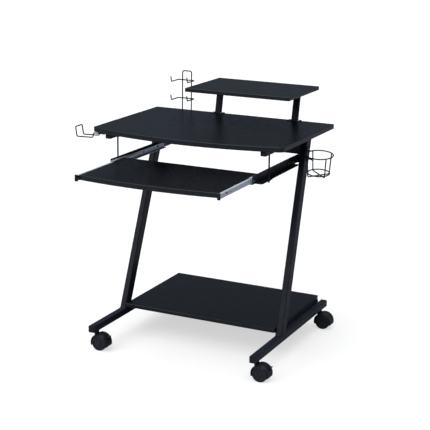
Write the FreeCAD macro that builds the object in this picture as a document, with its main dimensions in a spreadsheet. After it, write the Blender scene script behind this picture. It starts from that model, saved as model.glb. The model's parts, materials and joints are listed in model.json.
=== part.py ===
import FreeCAD, Part

# Computer desk with a keyboard tray: two Z-shaped steel tube frames on twin-wheel casters
# carry a bow-fronted desktop, a bottom shelf, a raised upper shelf and a tray on ball slides.
# X runs across the desk, Y from front to back and Z up from the floor, in millimetres.

import math
import os
import re

import Sketcher
from FreeCAD import Placement, Rotation, Vector

DIMENSIONS = {
    # where the desk's centre plane and the line through the leg feet lie in the part's frame
    "origin_x": 5.28, "origin_y": 81.5,
    # desktop
    "desk_width": 650, "desk_depth": 424, "desk_bow": 50, "desk_thick": 15,
    "desk_top": 715, "desk_rear": 219, "front_corner": 16, "rear_corner": 3, "band_round": 1.2,
    # keyboard tray
    "tray_width": 461, "tray_depth": 276, "tray_bow": 19, "tray_front": -442, "tray_top": 619,
    # bottom and upper shelves
    "shelf_thick": 12, "low_width": 536, "low_depth": 380, "low_front": -103, "low_under": 95,
    "high_width": 366, "high_depth": 258, "high_front": 40, "high_under": 808, "high_x": 56,
    # base tubes and their plastic end caps
    "base_size": 22, "base_under": 65, "base_half": 294, "base_x": 282.5, "tube_wall": 1.5,
    "tube_round": 2.5, "cap_thick": 3, "plug_depth": 10,
    # sloping legs
    "leg_width": 20, "leg_depth": 38.3, "leg_foot": -99, "leg_slope": 0.36, "leg_top_x": 265,
    # rails under the desktop, the rear crossbar and the angles that carry the bottom shelf
    "rail_width": 18, "rail_height": 16, "rail_front": -209, "rail_rear": 172,
    "bar_under": 628, "bar_height": 38, "bar_front": 110.5, "bar_depth": 20,
    "angle_sheet": 1.5, "angle_flange": 26, "angle_web": 23, "angle_front": -95, "angle_rear": 270,
    # tray channels hung from the rails
    "web_x": 241.5, "sheet": 1.5, "web_under": 600, "web_height": 26.5, "web_front": -236,
    "web_rear": 165, "flange_x": 263.5, "flange_front": -218, "flange_rear": 84,
    "tab_x": 266.5, "tab_rear": -140, "rod_x": 261.5, "rod_y": -158, "rod_size": 5, "rod_under": 593,
    "nut_across": 8, "nut_height": 3.2,
    # ball slides
    "slide_front": -238, "slide_length": 350, "slide_sheet": 1.1, "outer_height": 21,
    "inner_height": 15, "inner_front": -446.5, "inner_reach": 7.4, "outer_reach": 10.5,
    "ball_size": 1.8, "cage_front": -222, "cage_length": 110, "cage_sheet": 0.5,
    # upper shelf posts
    "post_width": 22, "post_depth": 12, "post_left": -86, "post_right": 191, "post_y": 210,
    "post_lean": 0.2, "foot_width": 44, "foot_depth": 24, "foot_thick": 2.5, "foot_front": 195,
    "arm_width": 24, "arm_thick": 3, "arm_front": 70, "arm_length": 192,
    # wire accessories
    "wire_size": 4, "rack_x": -211.5, "rack_half": 17, "rack_y": 222.5, "rack_top": 846,
    "hook_half": 30, "hook_bar_y": 218.5, "hook_reach": 166, "hook_high": 815.5, "hook_low": 753.5,
    "hook_tip": 17, "head_front": -204, "head_rear": -165, "head_tip_x": -389, "head_top": 710,
    "cup_x": 335, "cup_y": 68, "cup_rim_z": 643, "cup_radius": 43.5, "cup_floor_z": 579,
    "cup_turn": 40, "cup_tilt": 7, "cup_tilt_bearing": 25,
    # casters
    "caster_y": 262, "trail": 15, "wheel_radius": 25, "wheel_near": 5.3, "wheel_far": 18.5,
    "web_half": 4.5, "hood_radius": 30, "hood_inside": 26.2, "hood_skirt": 16, "axle_radius": 3,
    "stem_radius": 3.95, "collar_radius": 6.5, "collar_under": 55, "thread_radius": 5,
    "running_gap": 0.05, "lever_pivot_r": 20, "lever_pivot_angle": 50, "lever_rise": 22,
    "lever_reach": 22, "lever_pad": 13, "lever_pad_width": 16, "lever_slot": 14,
}

ALONG = {"x": Rotation(Vector(0, 1, 0), 90), "y": Rotation(Vector(1, 0, 0), -90), "z": Rotation()}
SIDES = {"left": -1, "right": 1}

doc = FreeCAD.newDocument("computer_desk")
sheet = doc.addObject("Spreadsheet::Sheet", "dims")
nodes = []


def fill_sheet():
    for row, (alias, value) in enumerate(DIMENSIONS.items(), 1):
        sheet.set(f"A{row}", alias)
        sheet.set(f"B{row}", str(value))
        sheet.setAlias(f"B{row}", alias)
    doc.recompute()


# ---- formulas and placing -------------------------------------------------------------------

def qualify(formula):
    """Write each alias in a formula as a cell of the sheet."""
    return re.sub(r"\b[a-z]+(?:_[a-z]+)*\b",
                  lambda word: f"dims.{word[0]}" if word[0] in DIMENSIONS else word[0], str(formula))


def bind(thing, prop, formula):
    thing.setExpression(prop, qualify(formula))


def number(formula):
    return float(sheet.evalExpression(qualify(formula)))


def place(thing, corner, rotation=Rotation()):
    """Put an object at a point of the desk, which itself stands off the part's origin."""
    thing.Placement = Placement(Vector(), rotation)
    bind(thing, "Placement.Base.x", f"origin_x + ({corner[0]})")
    bind(thing, "Placement.Base.y", f"origin_y + ({corner[1]})")
    bind(thing, "Placement.Base.z", corner[2])
    return thing


def node(thing, label):
    thing.Label = label
    nodes.append(thing)
    return thing


def near_side(side, near, length="0"):
    """The lower X of a stretch that starts at a distance from the centre plane and goes outward."""
    return f"({near})" if side > 0 else f"-({near}) - ({length})"


# ---- primitives and booleans ----------------------------------------------------------------

def box(name, size, corner):
    solid = doc.addObject("Part::Box", name)
    for prop, formula in zip(("Length", "Width", "Height"), size):
        bind(solid, prop, formula)
    return place(solid, corner)


def cylinder(name, radius, length, start, axis="z"):
    solid = doc.addObject("Part::Cylinder", name)
    bind(solid, "Radius", radius)
    bind(solid, "Height", length)
    return place(solid, start, ALONG[axis])


def sphere(name, radius, centre):
    solid = doc.addObject("Part::Sphere", name)
    bind(solid, "Radius", radius)
    return place(solid, centre)


def torus(name, ring_radius, wire_radius, centre):
    solid = doc.addObject("Part::Torus", name)
    bind(solid, "Radius1", ring_radius)
    bind(solid, "Radius2", wire_radius)
    return place(solid, centre)


def hexagon(name, across, height, start):
    """An upright hexagonal solid with two of its flats facing along X."""
    solid = doc.addObject("Part::Prism", name)
    solid.Polygon = 6
    bind(solid, "Circumradius", f"({across}) / sqrt(3)")
    bind(solid, "Height", height)
    return place(solid, start, Rotation(Vector(0, 0, 1), 30))


def fuse(name, solids):
    joined = doc.addObject("Part::MultiFuse", name)
    joined.Shapes = solids
    joined.Refine = True
    return joined


def cut(name, base, tool):
    result = doc.addObject("Part::Cut", name)
    result.Base = base
    result.Tool = tool
    return result


def group(name, solids):
    together = doc.addObject("Part::Compound", name)
    together.Links = solids
    return together


def round_solid(name, base, radius, wanted):
    """Fillet the edges of a primitive or boolean that a test picks."""
    doc.recompute()
    result = doc.addObject("Part::Fillet", name)
    result.Base = base
    size = number(radius)
    picked = [i for i, edge in enumerate(base.Shape.Edges, 1) if wanted(edge)]
    result.Edges = [(i, size, size) for i in picked]
    return result


# ---- sketched bodies ------------------------------------------------------------------------

def new_body(name):
    return doc.addObject("PartDesign::Body", name)


def sketch_on(body, name, role="XY_Plane"):
    sketch = body.newObject("Sketcher::SketchObject", name)
    plane = next(item for item in body.Origin.OriginFeatures if item.Role == role)
    sketch.AttachmentSupport = [(plane, "")]
    sketch.MapMode = "FlatFace"
    return sketch


def dimension(sketch, name, constraint, formula):
    index = sketch.addConstraint(constraint)
    sketch.renameConstraint(index, name)
    bind(sketch, f"Constraints.{name}", formula)


def add_rectangle(sketch, width, height):
    """A rectangle about the sketch's origin."""
    first = sketch.GeometryCount
    half_w, half_h = number(width) / 2, number(height) / 2
    corners = [Vector(-half_w, -half_h), Vector(half_w, -half_h),
               Vector(half_w, half_h), Vector(-half_w, half_h)]
    for start, end in zip(corners, corners[1:] + corners[:1]):
        sketch.addGeometry(Part.LineSegment(start, end))
    for side in range(4):
        sketch.addConstraint(Sketcher.Constraint("Coincident", first + side, 2, first + (side + 1) % 4, 1))
        kind = ("Horizontal", "Vertical")[side % 2]
        sketch.addConstraint(Sketcher.Constraint(kind, first + side))
    sketch.addConstraint(Sketcher.Constraint("Symmetric", first, 1, first + 1, 2, -1, 1))
    across = Sketcher.Constraint("DistanceX", first, 1, first, 2, 2 * half_w)
    upward = Sketcher.Constraint("DistanceY", first + 1, 1, first + 1, 2, 2 * half_h)
    dimension(sketch, f"width_{first}", across, width)
    dimension(sketch, f"height_{first}", upward, height)


def add_circle(sketch, radius):
    """A circle about the sketch's origin."""
    index = sketch.addGeometry(Part.Circle(Vector(), Vector(0, 0, 1), number(radius)))
    sketch.addConstraint(Sketcher.Constraint("Coincident", index, 3, -1, 1))
    dimension(sketch, f"radius_{index}", Sketcher.Constraint("Radius", index, number(radius)), radius)


def pad(body, sketch, length, lean=None):
    """Pad a sketch along its normal, or along a leaning direction up to the same height."""
    feature = body.newObject("PartDesign::Pad", f"{sketch.Name}_pad")
    feature.Profile = sketch
    bind(feature, "Length", length)
    if lean:
        feature.UseCustomVector = True
        feature.AlongSketchNormal = True
        feature.Direction = Vector(0, 0, 1)
        bind(feature, "Direction.x", lean[0])
        bind(feature, "Direction.y", lean[1])
    return feature


def round_body(body, radius, wanted):
    """Fillet the edges of a body's tip that a test picks."""
    doc.recompute()
    tip = body.Tip
    names = [f"Edge{i}" for i, edge in enumerate(tip.Shape.Edges, 1) if wanted(edge)]
    fillet = body.newObject("PartDesign::Fillet", f"{body.Name}_round")
    fillet.Base = (tip, names)
    bind(fillet, "Radius", radius)


def direction(edge):
    return edge.tangentAt(edge.FirstParameter)


def stands(edge):
    return edge.Curve.TypeId == "Part::GeomLine" and abs(direction(edge).z) > 0.5


def is_level(edge):
    return not stands(edge)


def prism(name, width, height, length, corner, axis="z", wall=None, lean=None, rounding="tube_round"):
    """A rectangular bar or, with a wall, a tube, its long outer edges rounded."""
    body = new_body(name)
    sketch = sketch_on(body, f"{name}_section")
    add_rectangle(sketch, width, height)
    if wall:
        add_rectangle(sketch, f"({width}) - 2 * {wall}", f"({height}) - 2 * {wall}")
    pad(body, sketch, length, lean)
    half = number(width) / 2
    round_body(body, rounding, lambda edge: stands(edge) and abs(abs(foot(edge).x) - half) < 1e-6)
    return place(body, corner, ALONG[axis])


def foot(edge):
    return min((vertex.Point for vertex in edge.Vertexes), key=lambda point: point.z)


def board(name, width, depth, thick, corner, bow=None, front_round="rear_corner"):
    """A board whose front left corner is given, with a bowed front edge if it has a bow."""
    body = new_body(name)
    sketch = sketch_on(body, f"{name}_outline")
    half, deep = number(width) / 2, number(depth)
    points = [Vector(-half, 0), Vector(-half, deep), Vector(half, deep), Vector(half, 0)]
    for start, end in zip(points, points[1:]):
        sketch.addGeometry(Part.LineSegment(start, end))
    if bow:
        sketch.addGeometry(Part.Arc(points[0], Vector(0, -number(bow)), points[3]))
        radius = f"(({width}) * ({width}) / 4 + ({bow}) * ({bow})) / (2 * ({bow}))"
        dimension(sketch, "front_radius", Sketcher.Constraint("Radius", 3, number(radius)), radius)
    else:
        sketch.addGeometry(Part.LineSegment(points[0], points[3]))
    for first, first_end, second, second_end in ((0, 2, 1, 1), (1, 2, 2, 1), (2, 2, 3, 2), (3, 1, 0, 1)):
        sketch.addConstraint(Sketcher.Constraint("Coincident", first, first_end, second, second_end))
    sketch.addConstraint(Sketcher.Constraint("Vertical", 0))
    sketch.addConstraint(Sketcher.Constraint("Horizontal", 1))
    sketch.addConstraint(Sketcher.Constraint("Vertical", 2))
    sketch.addConstraint(Sketcher.Constraint("Symmetric", 0, 1, 2, 2, -1, 1))
    dimension(sketch, "board_width", Sketcher.Constraint("DistanceX", 1, 1, 1, 2, 2 * half), width)
    dimension(sketch, "board_depth", Sketcher.Constraint("DistanceY", 0, 1, 0, 2, deep), depth)
    pad(body, sketch, thick)
    round_body(body, front_round, lambda edge: stands(edge) and foot(edge).y < 1)
    round_body(body, "rear_corner", lambda edge: stands(edge) and foot(edge).y > deep - 0.01)
    round_body(body, "band_round", is_level)
    return place(body, corner)


# ---- bent wire ------------------------------------------------------------------------------

def bent_path(points, bend):
    """Straight runs joined by tangent arcs of one radius."""
    edges = []
    start = points[0]
    for before, corner, after in zip(points, points[1:], points[2:]):
        back, ahead = (before - corner).normalize(), (after - corner).normalize()
        half_turn = back.getAngle(ahead) / 2
        trim = bend / math.tan(half_turn)
        middle = corner + (back + ahead).normalize() * (bend / math.sin(half_turn) - bend)
        edges.append(Part.LineSegment(start, corner + back * trim).toShape())
        edges.append(Part.Arc(corner + back * trim, middle, corner + ahead * trim).toShape())
        start = corner + ahead * trim
    edges.append(Part.LineSegment(start, points[-1]).toShape())
    return Part.Wire(edges)


def bent_wire(name, points, bend=5, lean=Placement()):
    """A round wire swept along a path, which is given by formulas in the desk's own frame."""
    shift = Vector(number("origin_x"), number("origin_y"), 0)
    path = [lean.multVec(Vector(*(number(value) for value in point))) + shift for point in points]
    spine = doc.addObject("Part::Feature", f"{name}_path")
    spine.Shape = bent_path(path, bend)
    section = doc.addObject("Part::Circle", f"{name}_section")
    bind(section, "Radius", "wire_size / 2")
    section.Placement = Placement(path[0], Rotation(Vector(0, 0, 1), path[1] - path[0]))
    rod = doc.addObject("Part::Sweep", name)
    rod.Sections = [section]
    rod.Spine = (spine, [f"Edge{i}" for i in range(1, len(spine.Shape.Edges) + 1)])
    rod.Solid = True
    return rod


# ---- fasteners ------------------------------------------------------------------------------

def screw(name, start, length, turn="z", up=1, head=3.8, head_height=2.2, shank=2):
    """A pan-head screw whose head meets the face at the start point; up is the way it drives."""
    axis = "xyz".index(turn)
    below = list(start)
    tip = list(start)
    below[axis] = f"({start[axis]}) - ({head_height})" if up > 0 else start[axis]
    tip[axis] = start[axis] if up > 0 else f"({start[axis]}) - ({length})"
    head_solid = cylinder(f"{name}_head", head, head_height, below, turn)
    rim = number(below[axis]) + number("origin_" + turn if turn != "z" else "0")
    outer_face = rim if up > 0 else rim + head_height
    domed = round_solid(f"{name}_dome", head_solid, head_height / 2,
                        lambda edge: abs(edge.CenterOfMass[axis] - outer_face) < 0.01
                        and edge.Curve.TypeId == "Part::GeomCircle")
    return fuse(name, [domed, cylinder(f"{name}_shank", shank, length, tip, turn)])


# ---- steel frame ----------------------------------------------------------------------------

def leg_blank(side, name, wall=None):
    rise = "(desk_top - desk_thick - rail_height - base_under - base_size)"
    return prism(name, "leg_width", "leg_depth", rise,
                 (f"{side} * base_x", "leg_foot + leg_depth / 2", "base_under + base_size"),
                 wall=wall, lean=(f"{-side} * (base_x - leg_top_x) / {rise}", "leg_slope"))


def frame(screws, machine_screws, stems, rods):
    for word, side in SIDES.items():
        base = prism(f"base_blank_{word}", "base_size", "base_size", "2 * base_half",
                     (f"{side} * base_x", "-base_half", "base_under + base_size / 2"), "y", "tube_wall")
        drilled_base = cut(f"base_drilled_{word}", base, machine_screws)
        node(cut(f"base_cut_{word}", drilled_base, stems), f"base_tube_{word}")
        leg = leg_blank(side, f"leg_blank_{word}", "tube_wall")
        node(cut(f"leg_cut_{word}", leg, machine_screws), f"leg_{word}")
        rail = prism(f"rail_blank_{word}", "rail_width", "rail_height", "rail_rear - rail_front",
                     (f"{side} * leg_top_x", "rail_front", "desk_top - desk_thick - rail_height / 2"),
                     "y", "tube_wall", rounding="tube_round / 2")
        drilled = cut(f"rail_drilled_{word}", rail, screws)
        node(cut(f"rail_cut_{word}", drilled, rods), f"upper_rail_{word}")
    crossbar()
    for word, side in SIDES.items():
        shelf_angle(side, word, screws, machine_screws)
    node(group("base_caps", tube_caps("base", "base_x", "base_size", "base_size",
                                      "base_under + base_size / 2", "-base_half", "base_half")),
         "base_tube_caps")
    node(group("rail_caps", tube_caps("rail", "leg_top_x", "rail_width", "rail_height",
                                      "desk_top - desk_thick - rail_height / 2",
                                      "rail_front", "rail_rear")), "rail_end_caps")


def crossbar():
    """The rear crossbar is trimmed to the legs' sloping inner faces."""
    bar = prism("crossbar_blank", "bar_height", "bar_depth", "2 * leg_top_x",
                ("-leg_top_x", "bar_front + bar_depth / 2", "bar_under + bar_height / 2"), "x", "tube_wall")
    legs = group("crossbar_trim", [leg_blank(side, f"leg_solid_{word}") for word, side in SIDES.items()])
    trimmed = cut("crossbar_cut", bar, legs)
    node(trimmed, "rear_crossbar")


def shelf_angle(side, word, screws, machine_screws):
    """An angle on the base tube's inner face, with a flange that the bottom shelf lies on."""
    face = "base_x - base_size / 2"
    length = "angle_rear - angle_front"
    web = box(f"angle_web_{word}", ("angle_sheet", length, "angle_web"),
              (near_side(side, f"{face} - angle_sheet", "angle_sheet"), "angle_front", "low_under - angle_web"))
    flange = box(f"angle_flange_{word}", ("angle_flange", length, "angle_sheet"),
                 (near_side(side, f"{face} - angle_flange", "angle_flange"), "angle_front",
                  "low_under - angle_sheet"))
    blank = fuse(f"angle_blank_{word}", [web, flange])
    drilled = cut(f"angle_drilled_{word}", blank, screws)
    node(cut(f"angle_cut_{word}", drilled, machine_screws), f"shelf_angle_{word}")


def tube_caps(kind, x, width, height, z, front, rear):
    """Plastic caps with a plug inside the tube, one at each end of both tubes."""
    caps = []
    for word, side in SIDES.items():
        for end, (at, way) in {"front": (front, -1), "rear": (rear, 1)}.items():
            name = f"{kind}_cap_{word}_{end}"
            face = f"({at}) - cap_thick" if way < 0 else at
            plug = at if way < 0 else f"({at}) - plug_depth"
            flange = prism(f"{name}_face", width, height, "cap_thick", (f"{side} * {x}", face, z), "y")
            inner = box(f"{name}_plug", (f"{width} - 2 * tube_wall", "plug_depth", f"{height} - 2 * tube_wall"),
                        (f"{side} * {x} - {width} / 2 + tube_wall", plug, f"{z} - {height} / 2 + tube_wall"))
            caps.append(fuse(name, [flange, inner]))
    return caps


# ---- tray channels and ball slides ----------------------------------------------------------

def hanger_rods():
    """Threaded rods that carry the front of each channel from the rail above it."""
    rods = [cylinder(f"rod_{word}", "rod_size / 2", "desk_top - desk_thick - rail_height + 6 - rod_under",
                     (f"{side} * rod_x", "rod_y", "rod_under")) for word, side in SIDES.items()]
    return group("rods", rods)


def hanger_nuts():
    rail_under = "desk_top - desk_thick - rail_height"
    levels = {"in_rail": f"{rail_under} + tube_wall", "under_rail": f"{rail_under} - nut_height",
              "on_flange": "web_under + sheet", "under_flange": "web_under - nut_height"}
    nuts = []
    for word, side in SIDES.items():
        for where, level in levels.items():
            at = (f"{side} * rod_x", "rod_y", level)
            name = f"nut_{where}_{word}"
            hole = cylinder(f"{name}_hole", "rod_size / 2", "nut_height", at)
            nuts.append(cut(name, hexagon(f"{name}_hex", "nut_across", "nut_height", at), hole))
    node(group("nuts", nuts), "hanger_nuts")


def channel(side, word, rods, slide_screws, machine_screws):
    """An angle of bent sheet: a web that backs the slide and a flange that the rod carries."""
    web = box(f"web_{word}", ("sheet", "web_rear - web_front", "web_height"),
              (near_side(side, "web_x", "sheet"), "web_front", "web_under"))
    reach = "flange_x - web_x"
    flange = box(f"flange_{word}", (reach, "flange_rear - flange_front", "sheet"),
                 (near_side(side, "web_x", reach), "flange_front", "web_under"))
    tab_reach = "tab_x - web_x"
    tab = box(f"tab_{word}", (tab_reach, "tab_rear - flange_front", "sheet"),
              (near_side(side, "web_x", tab_reach), "flange_front", "web_under"))
    outer_corner = side * number("tab_x") + number("origin_x")
    rounded = round_solid(f"tab_round_{word}", tab, "7",
                          lambda edge: stands(edge) and abs(edge.CenterOfMass.x - outer_corner) < 0.01
                          and edge.CenterOfMass.y < number("rod_y + origin_y"))
    blank = fuse(f"channel_blank_{word}", [web, flange, rounded])
    for name, tool in {"rod": rods, "slide": slide_screws, "bolt": machine_screws}.items():
        blank = cut(f"channel_{name}_{word}", blank, tool)
    node(blank, f"slide_channel_{word}")


def brackets(machine_screws):
    """Spacer blocks welded to the legs' inner faces; the channels bolt to them."""
    blocks = []
    for word, side in SIDES.items():
        reach = "base_x - web_x - sheet"
        block = box(f"bracket_blank_{word}", (reach, "22", "20"),
                    (near_side(side, "web_x + sheet", reach), "102", "web_under + 3"))
        trimmed = cut(f"bracket_trim_{word}", block, leg_blank(side, f"leg_trim_{word}"))
        outside = box(f"bracket_beyond_{word}", (reach, "40", "40"),
                      (near_side(side, "leg_top_x", reach), "92", "web_under - 10"))
        inner = cut(f"bracket_side_{word}", trimmed, outside)
        blocks.append(cut(f"bracket_{word}", inner, machine_screws))
    node(group("brackets", blocks), "leg_brackets")


def slide_member(name, side, near, reach, front, height, holes):
    """A C-shaped steel member whose web is its outer side and whose flanges reach inward."""
    level = "tray_top - 8.5"
    web_at = f"({near}) + ({reach}) - slide_sheet"
    web = box(f"{name}_web", ("slide_sheet", "slide_length", height),
              (near_side(side, web_at, "slide_sheet"), front, f"{level} - {height} / 2"))
    lips = [box(f"{name}_lip_{word}", (reach, "slide_length", "slide_sheet"),
                (near_side(side, near, reach), front, base))
            for word, base in {"top": f"{level} + {height} / 2 - slide_sheet",
                               "bottom": f"{level} - {height} / 2"}.items()]
    blank = fuse(f"{name}_blank", [web] + lips)
    openings = []
    for index, (along, width, tall) in enumerate(holes):
        slot = box(f"{name}_slot_{index}", ("4", width, tall),
                   (near_side(side, f"{web_at} - 2", "4"), f"{front} + {along}", f"{level} - {tall} / 2"))
        openings.append(round_solid(f"{name}_hole_{index}", slot, tall / 2 - 0.01,
                                    lambda edge: abs(direction(edge).x) > 0.9))
    return cut(name, blank, group(f"{name}_openings", openings))


def slides(slide_screws, tray_screws):
    for word, side in SIDES.items():
        outer = slide_member(f"outer_{word}", side, "web_x - outer_reach", "outer_reach", "slide_front",
                             "outer_height", [(40, 10, 5), (120, 14, 6), (205, 10, 5), (300, 14, 6)])
        node(cut(f"outer_drilled_{word}", outer, slide_screws), f"slide_outer_{word}")
        inner = slide_member(f"inner_{word}", side, "tray_width / 2", "inner_reach", "inner_front",
                             "inner_height", [(38, 12, 8.5), (66, 5, 4), (215, 16, 7), (300, 10, 5)])
        node(cut(f"inner_drilled_{word}", inner, tray_screws), f"slide_inner_{word}")
    ball_cages()
    caps = []
    for word, side in SIDES.items():
        width = "inner_reach + 1.3"
        block = box(f"slide_cap_blank_{word}", (width, "6", "outer_height - 1"),
                    (near_side(side, "tray_width / 2", width), "inner_front - 6",
                     "tray_top - 8 - outer_height / 2"))
        front = number("inner_front - 6 + origin_y")
        caps.append(round_solid(f"slide_cap_{word}", block, "2",
                                lambda edge: abs(edge.CenterOfMass.y - front) < 0.01))
    node(group("slide_caps", caps), "slide_front_caps")


def ball_cages():
    """Each cage is a thin strip that keeps two rows of balls between the slide members."""
    level = "tray_top - 8.5"
    gap_middle = "(inner_height + outer_height - 2 * slide_sheet) / 4"
    cages, balls = [], []
    for word, side in SIDES.items():
        strip_x = "tray_width / 2 + inner_reach + 0.6"
        back = box(f"cage_back_{word}", ("cage_sheet", "cage_length", f"2 * {gap_middle}"),
                   (near_side(side, strip_x, "cage_sheet"), "cage_front", f"{level} - {gap_middle}"))
        strips = [back]
        pockets = []
        for row, sign in {"top": 1, "bottom": -1}.items():
            centre_z = f"{level} + {sign} * {gap_middle}"
            width = "6"
            strips.append(box(f"cage_strip_{word}_{row}", (width, "cage_length", "cage_sheet"),
                              (near_side(side, f"{strip_x} + cage_sheet - {width}", width), "cage_front",
                               f"{centre_z} - cage_sheet / 2")))
            for index in range(5):
                at = (f"{side} * ({strip_x} - 3)", f"cage_front + {11 + 22 * index}", centre_z)
                name = f"{word}_{row}_{index}"
                balls.append(sphere(f"ball_{name}", "ball_size / 2", at))
                below = (at[0], at[1], f"{centre_z} - 1")
                pockets.append(cylinder(f"pocket_{name}", "ball_size / 2 + running_gap", "2", below))
        strip = fuse(f"cage_blank_{word}", strips)
        cages.append(cut(f"cage_{word}", strip, group(f"pockets_{word}", pockets)))
    node(group("cages", cages), "ball_cages")
    node(group("balls", balls), "slide_balls")


# ---- boards ---------------------------------------------------------------------------------

def boards(screws, tray_screws):
    desktop = board("desktop_blank", "desk_width", "desk_depth", "desk_thick",
                    ("0", "desk_rear - desk_depth", "desk_top - desk_thick"), "desk_bow", "front_corner")
    node(cut("desktop_cut", desktop, screws), "desktop")
    tray = board("tray_blank", "tray_width", "tray_depth", "desk_thick",
                 ("0", "tray_front", "tray_top - desk_thick"), "tray_bow")
    node(cut("tray_cut", tray, tray_screws), "keyboard_tray")
    low = board("low_blank", "low_width", "low_depth", "shelf_thick", ("0", "low_front", "low_under"))
    node(cut("low_cut", low, screws), "bottom_shelf")
    high = board("high_blank", "high_width", "high_depth", "shelf_thick",
                 ("high_x", "high_front", "high_under"))
    node(cut("high_cut", high, screws), "upper_shelf")


def posts(screws):
    """Leaning posts, each welded to a foot plate and to an arm under the upper shelf."""
    for word in SIDES:
        x = f"post_{word}"
        foot_plate = box(f"post_foot_{word}", ("foot_width", "foot_depth", "foot_thick"),
                         (f"{x} - foot_width / 2", "foot_front", "desk_top"))
        corners = round_solid(f"post_foot_round_{word}", foot_plate, "4", stands)
        height = "high_under - arm_thick - desk_top - foot_thick"
        column = prism(f"post_column_{word}", "post_width", "post_depth", height,
                       (x, "post_y", "desk_top + foot_thick"), lean=("0", "post_lean"))
        arm = box(f"post_arm_{word}", ("arm_width", "arm_length", "arm_thick"),
                  (f"{x} - arm_width / 2", "arm_front", "high_under - arm_thick"))
        rounded_arm = round_solid(f"post_arm_round_{word}", arm, "6", stands)
        whole = fuse(f"post_whole_{word}", [corners, column, rounded_arm])
        node(cut(f"post_cut_{word}", whole, screws), f"shelf_post_{word}")


def board_screws():
    """Wood screws: rails and plates to the desktop, arms to the upper shelf, rails to the shelf."""
    rail_under = "desk_top - desk_thick - rail_height"
    screws = []
    for word, side in SIDES.items():
        for index, y in enumerate((-190, -20, 95)):
            screws.append(screw(f"rail_screw_{word}_{index}", (f"{side} * leg_top_x", str(y), rail_under), "26"))
        for index, y in enumerate((90, 180)):
            screws.append(screw(f"arm_screw_{word}_{index}",
                                (f"post_{word}", str(y), "high_under - arm_thick"), "11"))
        for end, shift in {"a": "-15", "b": "15"}.items():
            screws.append(screw(f"foot_screw_{word}_{end}",
                                (f"post_{word} + {shift}", "foot_front + 7.5", "desk_top + foot_thick"),
                                "12.5", up=-1))
        for index, y in enumerate((-60, 90, 240)):
            screws.append(screw(f"low_screw_{word}_{index}",
                                (f"{side} * (base_x - 26)", str(y), "low_under - angle_sheet"), "9.5"))
    for index, x in enumerate(("rack_x - 9", "rack_x + 9")):
        screws.append(screw(f"rack_screw_{index}", (x, "197", "desk_top - desk_thick - 2"), "12"))
    for index, y in enumerate((-193, -176)):
        screws.append(screw(f"head_screw_{index}", ("-291", str(y), "desk_top - desk_thick - 2"), "12"))
    return group("board_screw_set", screws)


def slide_and_tray_screws():
    fixed, moving = [], []
    for word, side in SIDES.items():
        way = side
        for index, y in enumerate((-230, 40, 100)):
            fixed.append(screw(f"slide_screw_{word}_{index}",
                               (f"{side} * (web_x - slide_sheet)", str(y), "tray_top - 8.5"), "4.5", "x", way,
                               head=2.6, head_height=1.0, shank=1.5))
        for index, y in enumerate((-425, -310, -190)):
            moving.append(screw(f"tray_screw_{word}_{index}",
                                (f"{side} * (tray_width / 2 + inner_reach - slide_sheet)", str(y),
                                 "tray_top - 8.5"), "20", "x", -way, head=3, head_height=1.1, shank=1.5))
    return group("slide_screw_set", fixed), group("tray_screw_set", moving)


def machine_screws():
    """Bolts that hold the channels to the leg brackets, and the cup holder's plate to the leg."""
    bolts = []
    for word, side in SIDES.items():
        for index, z in enumerate((607, 619)):
            bolts.append(screw(f"bracket_bolt_{word}_{index}", (f"{side} * web_x", "119", str(z)), "14", "x", side,
                               head=4, head_height=2.6, shank=2.4))
        for index, y in enumerate((60, 210)):
            bolts.append(screw(f"angle_bolt_{word}_{index}",
                               (f"{side} * (base_x - base_size / 2 - angle_sheet)", str(y),
                                "base_under + 14"), "6", "x", side, head=3.6, head_height=2))
    for index, z in enumerate((620, 646)):
        bolts.append(screw(f"cup_bolt_{index}", ("279", str(109 + 10 * index), str(z)), "6", "x", -1,
                           head=3.6, head_height=2, shank=2))
    return group("machine_screw_set", bolts)


# ---- wire accessories -----------------------------------------------------------------------

def rack():
    """An inverted U behind the desktop's rear edge with two hook bars welded across it."""
    left, right = "rack_x - rack_half", "rack_x + rack_half"
    under = "desk_top - desk_thick - 2 - wire_size / 2"
    node(bent_wire("rack_wire", [(left, "192", under), (left, "rack_y", under), (left, "rack_y", "rack_top"),
                                 (right, "rack_y", "rack_top"), (right, "rack_y", under),
                                 (right, "192", under)], 7), "rack_frame")
    bars = []
    for level in ("hook_high", "hook_low"):
        tip = ("hook_reach - 2", f"{level} + hook_tip")
        ends = ("rack_x - hook_half", "rack_x + hook_half")
        bars.append(bent_wire(f"{level}_wire", [
            (f"{ends[0]} - 1", *tip), (ends[0], "hook_reach", level), (ends[0], "hook_bar_y", level),
            (ends[1], "hook_bar_y", level), (ends[1], "hook_reach", level), (f"{ends[1]} - 1", *tip)]))
    node(group("rack_bars", bars), "rack_hooks")


def headphone_hook():
    """One wire: out from under the desktop, down, outward, up at the tip and back again."""
    under = "desk_top - desk_thick - 2 - wire_size / 2"
    profile = [("-281", under), ("-322", under), ("-326", "681"), ("head_tip_x + 5", "679"),
               ("head_tip_x", "head_top")]
    points = [(x, "head_front", z) for x, z in profile]
    points += [(x, "head_rear", z) for x, z in reversed(profile)]
    node(bent_wire("headphone_wire", points), "headphone_hook")


def accessory_plates(screws):
    """Screw plates under the desktop that the rack and the headphone hook are welded to."""
    level = "desk_top - desk_thick - 2"
    rack_plate = box("rack_plate", ("48", "24", "2"), ("rack_x - 24", "186", level))
    head_plate = box("head_plate", ("22", "50", "2"), ("-302", "-210", level))
    plates = group("plate_blanks", [rack_plate, head_plate])
    node(cut("plates_cut", plates, screws), "accessory_plates")


def cup_lean():
    """The holder leans a little outward and forward about the centre of its rim."""
    bearing = math.radians(number("cup_tilt_bearing"))
    axis = Vector(math.cos(bearing), math.sin(bearing), 0)
    centre = Vector(number("cup_x"), number("cup_y"), number("cup_rim_z"))
    return Placement(Vector(), Rotation(axis, number("cup_tilt")), centre)


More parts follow.
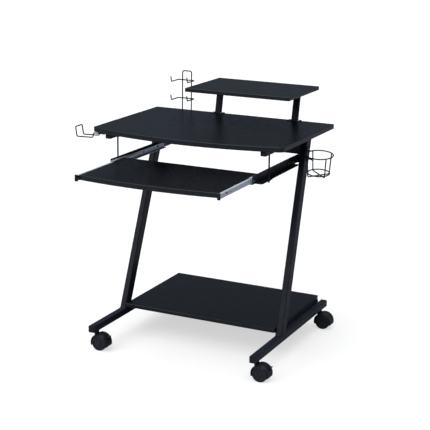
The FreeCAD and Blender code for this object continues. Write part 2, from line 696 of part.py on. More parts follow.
def cup_ring(name, radius, z):
    """A ring of wire about the cup's axis."""
    centre = cup_lean().multVec(Vector(number("cup_x"), number("cup_y"), number(z)))
    ring = torus(name, radius, "wire_size / 2", tuple(str(value) for value in centre))
    ring.Placement = Placement(ring.Placement.Base, cup_lean().Rotation)
    return ring


def cup_holder(bolts):
    rim = cup_ring("cup_rim_ring", "cup_radius", "cup_rim_z")
    node(rim, "cup_rim")
    wires = [cup_strap("strap_high", -number("cup_turn"), "cup_floor_z"),
             cup_strap("strap_low", 90 - number("cup_turn"), "cup_floor_z - wire_size"),
             cup_ring("cup_floor_ring", "cup_radius - 9", "cup_floor_z + wire_size")]
    node(group("cup_wires", wires), "cup_basket")
    plate = box("cup_plate", ("4", "20", "42"), ("275", "104", "611"))
    bored = cut("cup_plate_trim", plate, leg_blank(1, "leg_under_plate"))
    beyond = box("cup_plate_inside", ("6", "30", "50"), ("268", "100", "608"))
    flat_plate = cut("cup_plate_flat", bored, beyond)
    upper = bent_wire("cup_upper_arm", [("258", "98.3", "645"), ("284", "98.3", "646"), ("302", "91", "647")], 4)
    brace = box("cup_brace", ("3", "12", "6"), ("276", "97", "642"))
    lower = bent_wire("cup_lower_arm", [("278", "110", "616"), ("290", "110", "616"), ("302.6", "97", "616")], 4)
    whole = fuse("cup_mount_blank", [flat_plate, upper, lower, brace])
    apart = group("cup_mount_spaces", [leg_blank(1, "leg_under_mount"), rim, *wires])
    clear = cut("cup_mount_trim", whole, apart)
    node(cut("cup_mount_cut", clear, bolts), "cup_mount")


def cup_strap(name, angle, floor):
    """A U-shaped wire from one side of the rim, under the cup, to the other side."""
    reach_x, reach_y = math.cos(math.radians(angle)), math.sin(math.radians(angle))
    profile = [("cup_radius", "cup_rim_z - wire_size / 2"), ("cup_radius - 3", "cup_rim_z - 34"),
               ("cup_radius - 5", floor)]
    points = [(f"cup_x + ({radius}) * {reach_x}", f"cup_y + ({radius}) * {reach_y}", z)
              for radius, z in profile]
    points += [(f"cup_x - ({radius}) * {reach_x}", f"cup_y - ({radius}) * {reach_y}", z)
               for radius, z in reversed(profile)]
    return bent_wire(name, points, lean=cup_lean())


# ---- casters --------------------------------------------------------------------------------

CORNERS = {"front_left": (-1, -1), "front_right": (1, -1), "rear_left": (-1, 1), "rear_right": (1, 1)}


def corner_at(corner):
    side, end = CORNERS[corner]
    return f"{side} * base_x", f"{end} * caster_y"


def caster_stems():
    """Threaded stems screwed up into the base tubes; the caster bodies swivel on their pins."""
    stems = []
    for corner in CORNERS:
        x, y = corner_at(corner)
        pin = cylinder(f"pin_{corner}", "stem_radius", "19", (x, y, "collar_under - 19"))
        collar = cylinder(f"collar_{corner}", "collar_radius", "base_under - collar_under",
                          (x, y, "collar_under"))
        thread = cylinder(f"thread_{corner}", "thread_radius", "19", (x, y, "base_under"))
        stems.append(fuse(f"stem_{corner}", [pin, collar, thread]))
    return group("stems", stems)


def caster_body(corner, braked):
    """A web between the wheels under a hood that covers the upper part of their treads."""
    x, y = corner_at(corner)
    axle_x = f"{x} + trail"
    hood = cylinder(f"hood_{corner}", "hood_radius", "2 * wheel_far",
                    (axle_x, f"{y} - wheel_far", "wheel_radius"), "y")
    soft_hood = round_solid(f"hood_round_{corner}", hood, "1.8",
                            lambda edge: edge.Curve.TypeId == "Part::GeomCircle")
    boss = cylinder(f"boss_{corner}", "9", "22", (x, y, "collar_under - 22.4"))
    blank = fuse(f"caster_blank_{corner}", [soft_hood, boss])
    room = "wheel_far - web_half + 1"
    spaces = [cylinder(f"room_{corner}_{word}", "hood_inside", room, (axle_x, start, "wheel_radius"), "y")
              for word, start in {"near": f"{y} - wheel_far - 1", "far": f"{y} + web_half"}.items()]
    spaces.append(box(f"skirt_{corner}", ("80", "60", "hood_skirt + 10"),
                      (f"{axle_x} - 40", f"{y} - 30", "-10")))
    spaces.append(cylinder(f"pin_hole_{corner}", "stem_radius + running_gap", "30", (x, y, "collar_under - 19.3")))
    if braked:
        spaces += lever_room(corner, axle_x, y)
    open_body = cut(f"caster_open_{corner}", blank, group(f"spaces_{corner}", spaces))
    bore = cylinder(f"bore_{corner}", "axle_radius", "40", (axle_x, f"{y} - 20", "wheel_radius"), "y")
    node(cut(f"caster_cut_{corner}", open_body, bore), f"caster_body_{corner}")


def lever_pivot(axle_x, y):
    return (f"{axle_x} + lever_pivot_r * cos(lever_pivot_angle * 1 deg)", y,
            "wheel_radius + lever_pivot_r * sin(lever_pivot_angle * 1 deg)")


def lever_room(corner, axle_x, y):
    """The slot in the web that the brake lever swings in, and the holes for its pin."""
    pivot = lever_pivot(axle_x, y)
    slot = cylinder(f"lever_slot_{corner}", "lever_slot", "5.4", (pivot[0], f"{y} - 2.7", pivot[2]), "y")
    hole = cylinder(f"lever_hole_{corner}", "1.5 + running_gap", "20", (pivot[0], f"{y} - 10", pivot[2]), "y")
    return [slot, hole]


def wheel(corner, word):
    """One disc wheel with a rounded tread, a dished outer face and a blind axle bore."""
    x, y = corner_at(corner)
    sign = -1 if word == "front" else 1
    axle_x = f"{x} + trail"
    width = "wheel_far - wheel_near"

    def disc(name, radius, depth, start):
        low = f"{y} + {start}" if sign > 0 else f"{y} - ({start}) - ({depth})"
        return cylinder(f"{name}_{corner}_{word}", radius, depth, (axle_x, low, "wheel_radius"), "y")

    tread = round_solid(f"tread_{corner}_{word}", disc("tyre", "wheel_radius", width, "wheel_near"), "2.4",
                        lambda edge: edge.Curve.TypeId == "Part::GeomCircle")
    dish = cut(f"dish_{corner}_{word}", disc("dish_out", "20.5", "2", "wheel_far - 1.3"),
               disc("dish_in", "8", "3", "wheel_far - 1.5"))
    ring = cut(f"ring_{corner}_{word}", disc("ring_out", "21", "6", "wheel_near - 1"),
               disc("ring_in", "7", "7", "wheel_near - 1"))
    bore = disc("bore", "axle_radius + running_gap", f"({width}) - 1.7", "wheel_near")
    spaces = group(f"wheel_spaces_{corner}_{word}", [dish, ring, bore])
    node(cut(f"wheel_cut_{corner}_{word}", tread, spaces), f"wheel_{corner}_{word}")


def axle(corner):
    x, y = corner_at(corner)
    reach = "(wheel_far - 2)"
    node(cylinder(f"axle_rod_{corner}", "axle_radius", f"2 * {reach}",
                  (f"{x} + trail", f"{y} - {reach}", "wheel_radius"), "y"), f"axle_{corner}")


def brake_lever(corner):
    """A pedal on a pin in the web, sticking out over the trailing side of the hood."""
    x, y = corner_at(corner)
    body = new_body(f"lever_{corner}")
    arm = "lever_pad + 2"
    outlines = {"eye": ("3.2", None, "4.8", "0"), "arm": (arm, "4.2", "4.8", f"({arm}) / 2"),
                "pad": ("lever_reach - lever_pad", "3.2", "lever_pad_width",
                        "(lever_reach + lever_pad) / 2"),
                "pin": ("1.5", None, "2 * web_half - 0.4", "0")}
    for word, (length, thick, width, middle) in outlines.items():
        sketch = sketch_on(body, f"lever_{word}_{corner}", "XZ_Plane")
        bind(sketch, "AttachmentOffset.Base.x", middle)
        if thick:
            add_rectangle(sketch, length, thick)
        else:
            add_circle(sketch, length)
        feature = pad(body, sketch, width)
        feature.Midplane = True
    round_body(body, "1.2", lambda edge: edge.Curve.TypeId == "Part::GeomLine"
               and abs(direction(edge).y) > 0.9 and edge.Length > number("lever_pad_width") - 1)
    tilt = Rotation(Vector(0, 1, 0), -number("lever_rise"))
    node(place(body, lever_pivot(f"{x} + trail", y), tilt), f"brake_lever_{corner}")


def casters(stems):
    node(stems, "caster_stems")
    for corner in CORNERS:
        braked = corner.startswith("front")
        caster_body(corner, braked)
        axle(corner)
        wheel(corner, "front")
        wheel(corner, "rear")
        if braked:
            brake_lever(corner)


# ---- checks and files -----------------------------------------------------------------------

def check_and_export():
    doc.recompute()
    faults = [item.Name for item in doc.Objects if {"Invalid", "Error"} & set(item.State)]
    faults += [item.Label for item in nodes if item.Shape.isNull() or not item.Shape.isValid()]
    faults += [item.Label for item in nodes if not item.Shape.Solids]
    if faults:
        raise RuntimeError(f"failed objects: {faults}")
    whole = FreeCAD.BoundBox()
    os.makedirs("parts", exist_ok=True)
    for item in nodes:
        whole.add(item.Shape.optimalBoundingBox(False))
        item.Shape.exportStep(f"parts/{item.Label}.step")
    print(len(nodes), "nodes; box", whole, "centre", whole.Center)


fill_sheet()
screw_set = board_screws()
slide_screw_set, tray_screw_set = slide_and_tray_screws()
bolt_set = machine_screws()
stem_set = caster_stems()
rod_set = hanger_rods()
frame(screw_set, bolt_set, stem_set, rod_set)
boards(screw_set, tray_screw_set)
node(rod_set, "hanger_rods")
hanger_nuts()
for side_word, side_sign in SIDES.items():
    channel(side_sign, side_word, rod_set, slide_screw_set, bolt_set)
brackets(bolt_set)
slides(slide_screw_set, tray_screw_set)
posts(screw_set)
rack()
headphone_hook()
accessory_plates(screw_set)
cup_holder(bolt_set)
casters(stem_set)
node(screw_set, "board_screws")
node(slide_screw_set, "slide_screws")
node(tray_screw_set, "tray_screws")
node(bolt_set, "machine_screws")
check_and_export()
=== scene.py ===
import json
import math
import random

import bmesh
import bpy
from mathutils import Matrix, Vector


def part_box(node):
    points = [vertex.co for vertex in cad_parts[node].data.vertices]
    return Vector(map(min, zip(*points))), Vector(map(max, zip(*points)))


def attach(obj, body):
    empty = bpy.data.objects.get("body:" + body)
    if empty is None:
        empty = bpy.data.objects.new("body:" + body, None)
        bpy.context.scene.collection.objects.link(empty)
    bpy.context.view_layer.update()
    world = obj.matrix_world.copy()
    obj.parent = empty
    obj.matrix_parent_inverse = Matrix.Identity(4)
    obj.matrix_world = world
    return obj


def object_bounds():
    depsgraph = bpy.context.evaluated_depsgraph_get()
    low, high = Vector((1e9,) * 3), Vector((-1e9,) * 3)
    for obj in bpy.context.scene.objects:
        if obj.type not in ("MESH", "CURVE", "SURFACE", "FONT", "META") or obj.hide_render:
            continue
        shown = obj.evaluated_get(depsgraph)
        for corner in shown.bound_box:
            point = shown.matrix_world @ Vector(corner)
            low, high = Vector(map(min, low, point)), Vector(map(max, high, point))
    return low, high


# The computer desk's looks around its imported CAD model: black melamine boards, powder-coated
# tubes and wire, zinc slides and screws, and black twin-wheel casters. Everything is in metres.

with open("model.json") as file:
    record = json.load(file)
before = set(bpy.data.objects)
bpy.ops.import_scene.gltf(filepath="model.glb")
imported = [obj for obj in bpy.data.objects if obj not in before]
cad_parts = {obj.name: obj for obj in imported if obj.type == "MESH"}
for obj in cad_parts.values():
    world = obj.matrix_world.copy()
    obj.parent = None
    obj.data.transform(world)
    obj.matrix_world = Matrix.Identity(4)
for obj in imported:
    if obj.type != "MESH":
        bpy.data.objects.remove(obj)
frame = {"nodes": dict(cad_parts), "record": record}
cad_low, cad_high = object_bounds()
MM = 0.001


# ---- materials ------------------------------------------------------------------------------

# Where a noise texture's values mostly lie.
NOISE_LOW, NOISE_HIGH = 0.3, 0.7


class Surface:
    """A material's node graph, with short ways to add what the surfaces here share."""

    def __init__(self, name, **constants):
        self.material = bpy.data.materials.new(name)
        self.material.use_nodes = True
        self.nodes = self.material.node_tree.nodes
        self.links = self.material.node_tree.links
        self.shader = self.nodes["Principled BSDF"]
        for socket, value in constants.items():
            self.shader.inputs[socket.replace("_", " ")].default_value = value
        self.place = self.nodes.new("ShaderNodeTexCoord").outputs["Object"]

    def noise(self, scale, detail=4.0, stretch=(1, 1, 1)):
        """Noise whose scale is in cells per metre along each axis."""
        mapping = self.nodes.new("ShaderNodeMapping")
        mapping.inputs["Scale"].default_value = [scale * along for along in stretch]
        texture = self.nodes.new("ShaderNodeTexNoise")
        texture.inputs["Scale"].default_value = 1.0
        texture.inputs["Detail"].default_value = detail
        self.links.new(self.place, mapping.inputs["Vector"])
        self.links.new(mapping.outputs["Vector"], texture.inputs["Vector"])
        return texture.outputs["Fac"]

    def tone(self, factor, dark, light):
        """A colour between two, as noise goes over its usual range."""
        ramp = self.nodes.new("ShaderNodeValToRGB")
        stops = ((NOISE_LOW, dark), (NOISE_HIGH, light))
        for element, (position, colour) in zip(ramp.color_ramp.elements, stops):
            element.position = position
            element.color = (*colour, 1)
        self.links.new(factor, ramp.inputs["Fac"])
        return ramp.outputs["Color"]

    def spread(self, factor, low, high):
        """A number between two, as noise goes over its usual range."""
        span = self.nodes.new("ShaderNodeMapRange")
        span.inputs["From Min"].default_value = NOISE_LOW
        span.inputs["From Max"].default_value = NOISE_HIGH
        span.inputs["To Min"].default_value = low
        span.inputs["To Max"].default_value = high
        self.links.new(factor, span.inputs["Value"])
        return span.outputs["Result"]

    def blend(self, factor, first, second, kind="RGBA"):
        """The first where the factor, a number or an output, is 0 and the second where it is 1."""
        mix = self.nodes.new("ShaderNodeMix")
        mix.data_type = kind
        carries = {"RGBA": "RGBA", "FLOAT": "VALUE"}[kind]
        ends = [socket for socket in mix.inputs if socket.type == carries][-2:]
        if isinstance(factor, float):
            mix.inputs["Factor"].default_value = factor
        else:
            self.links.new(factor, mix.inputs["Factor"])
        for value, socket in zip((first, second), ends):
            self.links.new(value, socket)
        return next(out for out in mix.outputs if out.type == carries)

    def upright(self):
        """1 on upright faces and 0 on level ones."""
        split = self.nodes.new("ShaderNodeSeparateXYZ")
        self.links.new(self.nodes.new("ShaderNodeNewGeometry").outputs["Normal"], split.inputs["Vector"])
        size = self.nodes.new("ShaderNodeMath")
        size.operation = "ABSOLUTE"
        self.links.new(split.outputs["Z"], size.inputs[0])
        steep = self.nodes.new("ShaderNodeMath")
        steep.operation = "LESS_THAN"
        steep.inputs[1].default_value = 0.6
        self.links.new(size.outputs["Value"], steep.inputs[0])
        return steep.outputs["Value"]

    def bump(self, height, strength, depth):
        """Relief of a depth in metres."""
        relief = self.nodes.new("ShaderNodeBump")
        relief.inputs["Strength"].default_value = strength
        relief.inputs["Distance"].default_value = depth
        self.links.new(height, relief.inputs["Height"])
        self.links.new(relief.outputs["Normal"], self.shader.inputs["Normal"])

    def wire(self, output, socket):
        self.links.new(output, self.shader.inputs[socket])


def melamine():
    """Black melamine: a fine pearl grain on the faces and a smoother band round the edges, whose upright
    faces are painted lighter as a highlight.
    """
    board = Surface("black_melamine", Specular_IOR_Level=0.32)
    grain = board.noise(1100, 5)
    clouds = board.noise(9, 3)
    face = board.tone(grain, (0.0008, 0.0012, 0.0020), (0.0021, 0.0029, 0.0043))
    worn = board.tone(clouds, (0.0010, 0.0014, 0.0023), (0.0017, 0.0023, 0.0035))
    # Painted highlight: the upright faces, the edge band, are coloured much lighter than the top, with
    # streaks along their height; the upright mask below picks them.
    painted_highlight_band = board.tone(board.noise(60, 3, (1, 1, 12)), (0.0060, 0.0078, 0.0108), (0.0094, 0.0118, 0.0156))
    upright = board.upright()
    board.wire(board.blend(upright, board.blend(0.5, face, worn), painted_highlight_band), "Base Color")
    rough_face = board.spread(board.noise(35, 6), 0.27, 0.36)
    rough_band = board.spread(board.noise(80, 3), 0.30, 0.38)
    board.wire(board.blend(upright, rough_face, rough_band, "FLOAT"), "Roughness")
    board.bump(grain, 0.10, 0.00006)
    return board.material


def powder_coat():
    """Black powder coat with its orange-peel relief."""
    paint = Surface("black_powder_coat", Specular_IOR_Level=0.20)
    peel = paint.noise(900, 3)
    shade = paint.tone(paint.noise(22, 4), (0.0042, 0.0055, 0.0094), (0.0092, 0.0115, 0.0184))
    paint.wire(shade, "Base Color")
    paint.wire(paint.spread(paint.noise(120, 5), 0.30, 0.44), "Roughness")
    paint.bump(peel, 0.16, 0.00008)
    return paint.material


def zinc():
    """Bright zinc plate, drawn along the slides."""
    plate = Surface("zinc_plate", Metallic=0.5)
    drawn = plate.noise(900, 4, (1, 0.02, 1))
    plate.wire(plate.tone(drawn, (0.43, 0.47, 0.53), (0.58, 0.62, 0.69)), "Base Color")
    plate.wire(plate.spread(plate.noise(160, 5), 0.34, 0.48), "Roughness")
    plate.bump(drawn, 0.12, 0.00004)
    return plate.material


def moulded_plastic():
    """Black moulded plastic with a fine spark-eroded grain."""
    plastic = Surface("black_plastic", Specular_IOR_Level=0.28)
    grain = plastic.noise(1500, 4)
    shade = plastic.tone(plastic.noise(60, 4), (0.0052, 0.0062, 0.0085), (0.0105, 0.0120, 0.0150))
    plastic.wire(shade, "Base Color")
    plastic.wire(plastic.spread(plastic.noise(240, 4), 0.34, 0.46), "Roughness")
    plastic.bump(grain, 0.2, 0.00007)
    return plastic.material


def wheel_plastic():
    """Hard black nylon, a little greyer and smoother than the hoods."""
    nylon = Surface("wheel_nylon", Specular_IOR_Level=0.32)
    shade = nylon.tone(nylon.noise(90, 4), (0.0095, 0.0110, 0.0145), (0.0175, 0.0195, 0.0240))
    nylon.wire(shade, "Base Color")
    nylon.wire(nylon.spread(nylon.noise(300, 4), 0.26, 0.38), "Roughness")
    nylon.bump(nylon.noise(700, 3), 0.12, 0.00005)
    return nylon.material


def pale_floor():
    """White paper with a faint glow where the camera sees it, and dim in what the desk reflects."""
    ground = Surface("pale_floor", Specular_IOR_Level=0.1, Roughness=0.9, Emission_Strength=0.62)
    cloud = ground.noise(0.7, 3)
    ground.wire(ground.tone(cloud, (0.27, 0.27, 0.27), (0.29, 0.29, 0.29)), "Base Color")
    ground.wire(ground.tone(cloud, (0.96, 0.96, 0.96), (1.0, 1.0, 1.0)), "Emission Color")
    dim = ground.nodes.new("ShaderNodeBsdfDiffuse")
    dim.inputs["Color"].default_value = (0.16, 0.17, 0.19, 1)
    seen = ground.nodes.new("ShaderNodeMixShader")
    ground.links.new(ground.nodes.new("ShaderNodeLightPath").outputs["Is Camera Ray"], seen.inputs["Fac"])
    ground.links.new(dim.outputs["BSDF"], seen.inputs[1])
    ground.links.new(ground.shader.outputs["BSDF"], seen.inputs[2])
    ground.links.new(seen.outputs["Shader"], ground.nodes["Material Output"].inputs["Surface"])
    return ground.material


MATERIALS = {"black_board": melamine(), "black_paint": powder_coat(), "zinc": zinc(),
             "black_plastic": moulded_plastic(), "wheel_plastic": wheel_plastic()}


def finish_nodes():
    """Give each CAD node the material of its slot."""
    for entry in frame["record"]["subparts"]:
        part = frame["nodes"][entry["node"]]
        part.data.materials.clear()
        part.data.materials.append(MATERIALS[entry["material_slot"]])


# ---- pieces the CAD leaves out --------------------------------------------------------------

SLOT_OF = {entry["node"]: entry["material_slot"] for entry in frame["record"]["subparts"]}
BODY_OF = {node: body for body, nodes in frame["record"]["behaviour"]["bodies"].items() for node in nodes}


def add_piece(name, mesh_data, node, slot=None, smooth=True):
    """Link a bmesh as a piece that rides with a CAD node, in that node's finish or another slot's."""
    mesh = bpy.data.meshes.new(name)
    mesh_data.to_mesh(mesh)
    mesh_data.free()
    for face in mesh.polygons:
        face.use_smooth = smooth
    piece = bpy.data.objects.new(name, mesh)
    bpy.context.collection.objects.link(piece)
    slot = slot or SLOT_OF[node]
    mesh.materials.append(MATERIALS[slot])
    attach(piece, BODY_OF[node])


# The radius of a weld bead at each kind of joint.
ACROSS_FOOT, ALONG_FOOT, UNDER_RAIL = 1.7 * MM, 1.3 * MM, 1.5 * MM
ROUND_CROSSBAR, ROUND_POST = 1.3 * MM, 1.1 * MM
# A leg's section along and across the desk, and how far a bead sinks into the crossbar's end.
LEG_DEEP, LEG_WIDE, BAR_SUNK = 38.3 * MM, 20 * MM, 0.6 * MM


def weld_bead(mesh_data, start, end, radius, seed):
    """Ripples of weld along a line: flattened drops that overlap, each a little off the next."""
    chance = random.Random(seed)
    start, end = Vector(start), Vector(end)
    length = (end - start).length
    count = max(2, round(length / (0.85 * radius)))
    along = (end - start).to_track_quat("X", "Z").to_matrix().to_4x4()
    for index in range(count + 1):
        size = radius * chance.uniform(0.88, 1.12)
        wander = Vector([chance.uniform(-0.08, 0.08) * radius for _ in range(3)])
        spot = start.lerp(end, index / count) + wander
        shape = Matrix.Translation(spot) @ along @ Matrix.Diagonal((0.8 * size, size, size, 1))
        bmesh.ops.create_icosphere(mesh_data, subdivisions=2, radius=1, matrix=shape)


def weld_foot(side, word):
    """The fillet round the foot of a leg, where it stands on its base tube."""
    low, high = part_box(f"leg_{word}")
    outer = low.x if side < 0 else high.x
    inner = outer - side * LEG_WIDE
    front, back, floor = low.y, low.y + LEG_DEEP, low.z
    beads = bmesh.new()
    weld_bead(beads, (inner, front, floor), (outer, front, floor), ACROSS_FOOT, f"front {word}")
    weld_bead(beads, (inner, back, floor), (outer, back, floor), ACROSS_FOOT, f"back {word}")
    weld_bead(beads, (outer, front, floor), (outer, back, floor), ALONG_FOOT, f"outer {word}")
    weld_bead(beads, (inner, front, floor), (inner, back, floor), ALONG_FOOT, f"inner {word}")
    add_piece(f"weld_foot_{word}", beads, f"leg_{word}")


def weld_rail(word):
    """The beads in front of and behind a leg's top, under its rail."""
    low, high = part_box(f"upper_rail_{word}")
    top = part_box(f"leg_{word}")[1].y
    beads = bmesh.new()
    for y in (top - LEG_DEEP, top):
        weld_bead(beads, (low.x, y, low.z), (high.x, y, low.z), UNDER_RAIL, f"rail {word} {y:.3f}")
    add_piece(f"weld_rail_{word}", beads, f"leg_{word}")


def weld_crossbar(side, word):
    """The fillet round an end of the crossbar, against the leg."""
    low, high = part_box("rear_crossbar")
    end = (low.x if side < 0 else high.x) - side * BAR_SUNK
    beads = bmesh.new()
    for y in (low.y + BAR_SUNK, high.y):
        weld_bead(beads, (end, y, low.z), (end, y, high.z), ROUND_CROSSBAR, f"bar {word} {y:.3f}")
    for z in (low.z, high.z):
        weld_bead(beads, (end, low.y, z), (end, high.y, z), ROUND_CROSSBAR, f"bar {word} {z:.3f}")
    add_piece(f"weld_crossbar_{word}", beads, "rear_crossbar")


def weld_frame():
    for side, word in ((-1, "left"), (1, "right")):
        weld_foot(side, word)
        weld_rail(word)
        weld_crossbar(side, word)


def weld_posts():
    """Fillets round the foot and under the arm of each post of the upper shelf."""
    half_wide, half_deep, plate, arm = 11 * MM, 6 * MM, 2.5 * MM, 3 * MM
    from_rear_edge, lean = 9 * MM, 0.2
    foot_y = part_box("desktop")[1].y - from_rear_edge
    for word in ("left", "right"):
        low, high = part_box(f"shelf_post_{word}")
        x, foot, head = (low.x + high.x) / 2, low.z + plate, high.z - arm
        beads = bmesh.new()
        for z, y in ((foot, foot_y), (head, foot_y + lean * (head - foot))):
            for shift in (-half_deep, half_deep):
                weld_bead(beads, (x - half_wide, y + shift, z), (x + half_wide, y + shift, z), ROUND_POST,
                          f"post {word} {z:.3f} {shift:.3f}")
            for shift in (-half_wide, half_wide):
                weld_bead(beads, (x + shift, y - half_deep, z), (x + shift, y + half_deep, z), ROUND_POST,
                          f"post {word} {z:.3f} {shift:.3f}")
        add_piece(f"weld_post_{word}", beads, f"shelf_post_{word}")


def loose_solids(node):
    """The points of each separate solid of a CAD node."""
    mesh_data = bmesh.new()
    mesh_data.from_mesh(frame["nodes"][node].data)
    bmesh.ops.remove_doubles(mesh_data, verts=mesh_data.verts, dist=0.001 * MM)
    waiting, solids = set(mesh_data.verts), []
    for first in mesh_data.verts:
        if first not in waiting:
            continue
        waiting.remove(first)
        reached, points = [first], []
        while reached:
            vertex = reached.pop()
            points.append(vertex.co.copy())
            for edge in vertex.link_edges:
                other = edge.other_vert(vertex)
                if other in waiting:
                    waiting.remove(other)
                    reached.append(other)
        solids.append(points)
    mesh_data.free()
    return solids


def head_of(points):
    """Where a screw's head ends, the way it faces and its radius, from the screw's points."""
    low = Vector([min(point[axis] for point in points) for axis in range(3)])
    high = Vector([max(point[axis] for point in points) for axis in range(3)])
    size, middle = high - low, (low + high) / 2
    uneven = [abs(size[(axis + 1) % 3] - size[(axis + 2) % 3]) for axis in range(3)]
    axis = uneven.index(min(uneven))
    across, along = (axis + 1) % 3, (axis + 2) % 3
    reach = max(size[across], size[along]) / 2
    rim = [point[axis] for point in points
           if max(abs(point[across] - middle[across]), abs(point[along] - middle[along])) > 0.9 * reach]
    up = sum(rim) / len(rim) > middle[axis]
    facing = Vector([0.0, 0.0, 0.0])
    facing[axis] = 1.0 if up else -1.0
    spot = middle.copy()
    spot[axis] = high[axis] if up else low[axis]
    return spot, facing, reach


# The dark cross that paints a recess's shade: its length and width as parts of the head's radius, its
# thickness, and how much it narrows.
SLOT_LONG, SLOT_WIDE, SLOT_DEEP, SLOT_TAPER = 1.24, 0.26, 0.12 * MM, 0.86


def paint_recess_shade():
    """The cross in each screw head as painted shade: two crossed thin dark slabs set on the head, not cut
    into it, whose edges slope.
    """
    for node in ("machine_screws", "board_screws", "tray_screws", "slide_screws"):
        marks = bmesh.new()
        for points in loose_solids(node):
            spot, facing, reach = head_of(points)
            turn = facing.to_track_quat("Z", "Y").to_matrix().to_4x4()
            for angle in (45, 135):
                shape = (Matrix.Translation(spot) @ turn @ Matrix.Rotation(math.radians(angle), 4, "Z")
                         @ Matrix.Diagonal((SLOT_LONG * reach, SLOT_WIDE * reach, SLOT_DEEP, 1)))
                # Each slab is a dark sheet that paints the shade of a recess onto the head.
                block = bmesh.ops.create_cube(marks, size=1, matrix=shape)
                for vertex in block["verts"]:
                    if (vertex.co - spot).dot(facing) > 0:
                        vertex.co = spot + (vertex.co - spot) * SLOT_TAPER
        add_piece(f"{node}_painted_recess_shade", marks, node, slot="black_plastic", smooth=False)


def rod_threads():
    """The rolled thread along each hanger rod, from its lower end to the nut under the rail."""
    low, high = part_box("hanger_rods")
    top_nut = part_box("hanger_nuts")[1].z
    radius, pitch, steps = 2.5 * MM, 0.8 * MM, 16
    sunk, proud, half_ridge, below_top_nut = 0.05 * MM, 0.22 * MM, 0.28 * MM, 12 * MM
    threads = bmesh.new()
    for x in (low.x + radius, high.x - radius):
        y, start, stop = (low.y + high.y) / 2, low.z + pitch, top_nut - below_top_nut
        rings = []
        for index in range(round((stop - start) / pitch * steps)):
            angle = math.tau * index / steps
            centre = Vector((x, y, start + pitch * index / steps))
            outward = Vector((math.cos(angle), math.sin(angle), 0))
            ridge = ((radius - sunk, -half_ridge), (radius + proud, 0), (radius - sunk, half_ridge))
            rings.append([threads.verts.new(centre + outward * reach + Vector((0, 0, rise)))
                          for reach, rise in ridge])
        for here, there in zip(rings, rings[1:]):
            for first, second in ((0, 1), (1, 2), (2, 0)):
                threads.faces.new((here[first], here[second], there[second], there[first]))
    add_piece("hanger_rod_threads", threads, "hanger_rods")


# ---- stage ----------------------------------------------------------------------------------

# The way to the brightest part of the sky: overhead and a little to the front.
BRIGHT_SKY = (0.0, -0.2, 0.98)


def build_stage():
    """A pale floor far larger than the view, a bright sky over a dim horizon, and soft lamps."""
    bpy.ops.mesh.primitive_plane_add(size=120)
    floor = bpy.context.object
    floor.name = "floor"
    floor.data.materials.append(pale_floor())
    sky()
    sun = bpy.data.lights.new("sun", "SUN")
    sun.energy = 1.6
    sun.angle = math.radians(80)
    lamp = bpy.data.objects.new("sun", sun)
    lamp.rotation_euler = (math.radians(32), math.radians(-22), 0)
    bpy.context.collection.objects.link(lamp)
    softbox("front_softbox", position=(-1.7, -2.4, 1.9), size=1.6, watts=26)
    softbox("side_softbox", position=(2.6, -0.6, 1.6), size=1.2, watts=8)


def softbox(name, position, size, watts):
    """A square lamp that faces the desk and lights it without showing in its gloss."""
    light = bpy.data.lights.new(name, "AREA")
    light.size = size
    light.energy = watts
    lamp = bpy.data.objects.new(name, light)
    lamp.location = position
    lamp.visible_glossy = False
    aim = (cad_low + cad_high) / 2 - Vector(position)
    lamp.rotation_euler = aim.to_track_quat("-Z", "Y").to_euler()
    bpy.context.collection.objects.link(lamp)


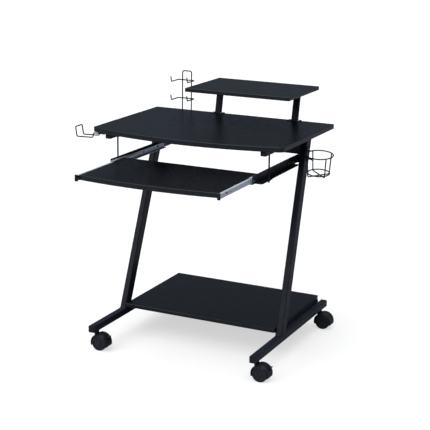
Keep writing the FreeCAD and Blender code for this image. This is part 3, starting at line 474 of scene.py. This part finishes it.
def sky():
    """A world that is bright overhead and dim round the horizon, and plain white where it shows."""
    world = bpy.data.worlds.new("studio")
    world.use_nodes = True
    bpy.context.scene.world = world
    nodes, links = world.node_tree.nodes, world.node_tree.links
    toward = nodes.new("ShaderNodeVectorMath")
    toward.operation = "DOT_PRODUCT"
    toward.inputs[1].default_value = BRIGHT_SKY
    links.new(nodes.new("ShaderNodeTexCoord").outputs["Generated"], toward.inputs[0])
    ramp = nodes.new("ShaderNodeValToRGB")
    stops = ramp.color_ramp.elements
    stops[0].position, stops[0].color = 0.55, (0.096, 0.113, 0.144, 1)
    stops[1].position, stops[1].color = 1.0, (3.6, 3.6, 3.6, 1)
    links.new(toward.outputs["Value"], ramp.inputs["Fac"])
    background = nodes["Background"]
    links.new(ramp.outputs["Color"], background.inputs["Color"])
    backdrop = nodes.new("ShaderNodeBackground")
    backdrop.inputs["Color"].default_value = (1, 1, 1, 1)
    switch = nodes.new("ShaderNodeMixShader")
    links.new(nodes.new("ShaderNodeLightPath").outputs["Is Camera Ray"], switch.inputs["Fac"])
    links.new(background.outputs["Background"], switch.inputs[1])
    links.new(backdrop.outputs["Background"], switch.inputs[2])
    links.new(switch.outputs["Shader"], nodes["World Output"].inputs["Surface"])


# How the photograph was taken: the view's bearing, height and roll, the distance, the aim
# from the centre of the desk's box, and the lens with its centre off the frame's middle.
VIEW_AZIMUTH, VIEW_ELEVATION, VIEW_ROLL = 25.52, 14.57, 0.80
VIEW_DISTANCE = 4.014
VIEW_AIM = Vector((0.02841, 0.0815, 0.03605))
LENS_MM, SENSOR_MM = 104.17, 36.0
SHIFT_X, SHIFT_Y = -0.0105, -0.0251


def add_camera():
    data = bpy.data.cameras.new("camera")
    data.lens, data.sensor_width = LENS_MM, SENSOR_MM
    data.shift_x, data.shift_y = SHIFT_X, SHIFT_Y
    camera = bpy.data.objects.new("camera", data)
    bpy.context.collection.objects.link(camera)
    turn, rise, roll = (math.radians(angle) for angle in (VIEW_AZIMUTH, VIEW_ELEVATION, VIEW_ROLL))
    ahead = Vector((-math.sin(turn) * math.cos(rise), math.cos(turn) * math.cos(rise), -math.sin(rise)))
    level = Vector((math.cos(turn), math.sin(turn), 0))
    upward = level.cross(ahead)
    across = math.cos(roll) * level + math.sin(roll) * upward
    raised = math.cos(roll) * upward - math.sin(roll) * level
    spot = (cad_low + cad_high) / 2 + VIEW_AIM - VIEW_DISTANCE * ahead
    camera.matrix_world = Matrix.Translation(spot) @ Matrix((across, raised, -ahead)).transposed().to_4x4()
    bpy.context.scene.camera = camera
    bpy.context.scene.view_settings.view_transform = "Standard"


finish_nodes()
weld_frame()
weld_posts()
paint_recess_shade()
rod_threads()
build_stage()
add_camera()
